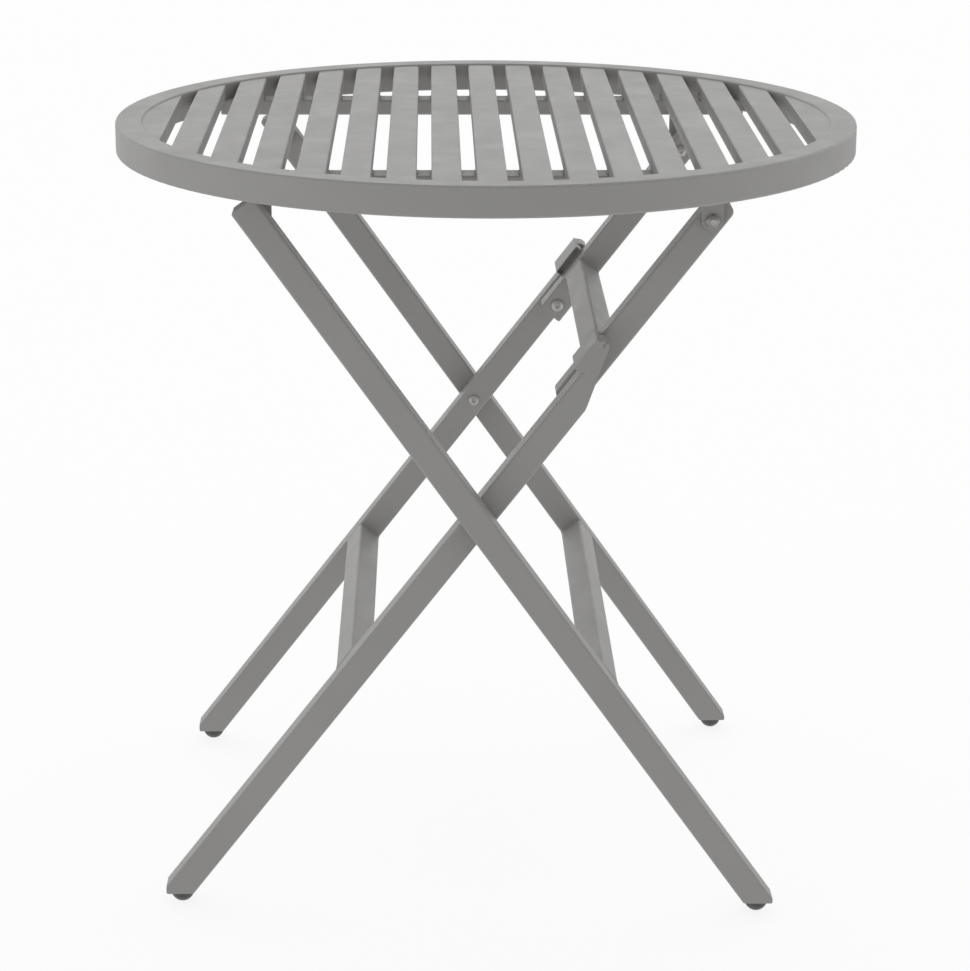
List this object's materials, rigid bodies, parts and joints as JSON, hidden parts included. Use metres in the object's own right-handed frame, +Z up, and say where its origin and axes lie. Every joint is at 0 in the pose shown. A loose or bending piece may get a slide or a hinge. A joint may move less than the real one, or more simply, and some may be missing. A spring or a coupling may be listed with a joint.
{
  "type": "folding table",
  "caption": "Round slatted metal bistro table on a crossed tube frame that folds flat under its top, with a knee joint in one pair of legs and a stop that locks it straight.",
  "frame": {"origin": "on the floor, below the centre of the round top", "axes": "+Z up, X along the rails and the fold plane with the knee at +X, Y along the slats and the pivots' axes"},
  "size_m": [0.7, 0.7, 0.715],
  "materials": {
    "frame": "matt grey powder coat with a fine texture",
    "hardware": "satin zinc-plated steel",
    "glide": "matt dark grey plastic"
  },
  "bodies": {
    "tabletop": {"rim": "frame", "end_segment_left": "frame", "end_segment_right": "frame", "slat_01": "frame", "slat_02": "frame", "slat_03": "frame", "slat_04": "frame", "slat_05": "frame", "slat_06": "frame", "slat_07": "frame", "slat_08": "frame", "slat_09": "frame", "slat_10": "frame", "slat_11": "frame", "slat_12": "frame", "slat_13": "frame", "slat_14": "frame", "slat_15": "frame", "rail_front": "frame", "rail_rear": "frame", "outer_leg_brackets": "frame", "arm_brackets": "frame", "arm_pivot_bolts": "hardware", "arm_pivot_nuts": "hardware", "arm_pivot_washers": "hardware"},
    "outer_frame": {"outer_leg_front": "frame", "outer_leg_rear": "frame", "outer_crossbar": "frame", "outer_leg_caps": "frame", "outer_pivot_bolts": "hardware", "outer_pivot_inserts": "hardware", "cross_pivot_inserts": "hardware", "glide_outer_front": "glide", "glide_outer_rear": "glide"},
    "arms": {"arm_front": "frame", "arm_rear": "frame", "arm_crossbar": "frame", "arm_top_caps": "frame", "arm_knee_caps": "frame"},
    "inner_frame": {"inner_leg_front": "frame", "inner_leg_rear": "frame", "inner_crossbar": "frame", "inner_leg_caps": "frame", "knee_stop_front": "frame", "knee_stop_rear": "frame", "knee_bolts": "hardware", "knee_spacers": "hardware", "knee_inserts": "hardware", "cross_pivot_bolts": "hardware", "cross_pivot_washers": "hardware", "glide_inner_front": "glide", "glide_inner_rear": "glide"}
  },
  "joints": [
    {"name": "outer_fold", "type": "hinge", "parent": "tabletop", "child": "outer_frame", "pos_m": [-0.203, 0, 0.657], "axis": [0, -1, 0], "range_deg": [0, 46]},
    {"name": "arm_fold", "type": "hinge", "parent": "tabletop", "child": "arms", "pos_m": [0.2, 0, 0.652], "axis": [0, 1, 0], "range_deg": [0, 51.4]},
    {"name": "knee_fold", "type": "hinge", "parent": "arms", "child": "inner_frame", "pos_m": [0.07683, 0, 0.49211], "axis": [0, -1, 0], "range_deg": [0, 161.5]}
  ],
  "couplings": [
    {"joint": "arm_fold", "follows": "outer_fold", "ratio": 1.1152},
    {"joint": "knee_fold", "follows": "outer_fold", "ratio": 3.5065}
  ]
}
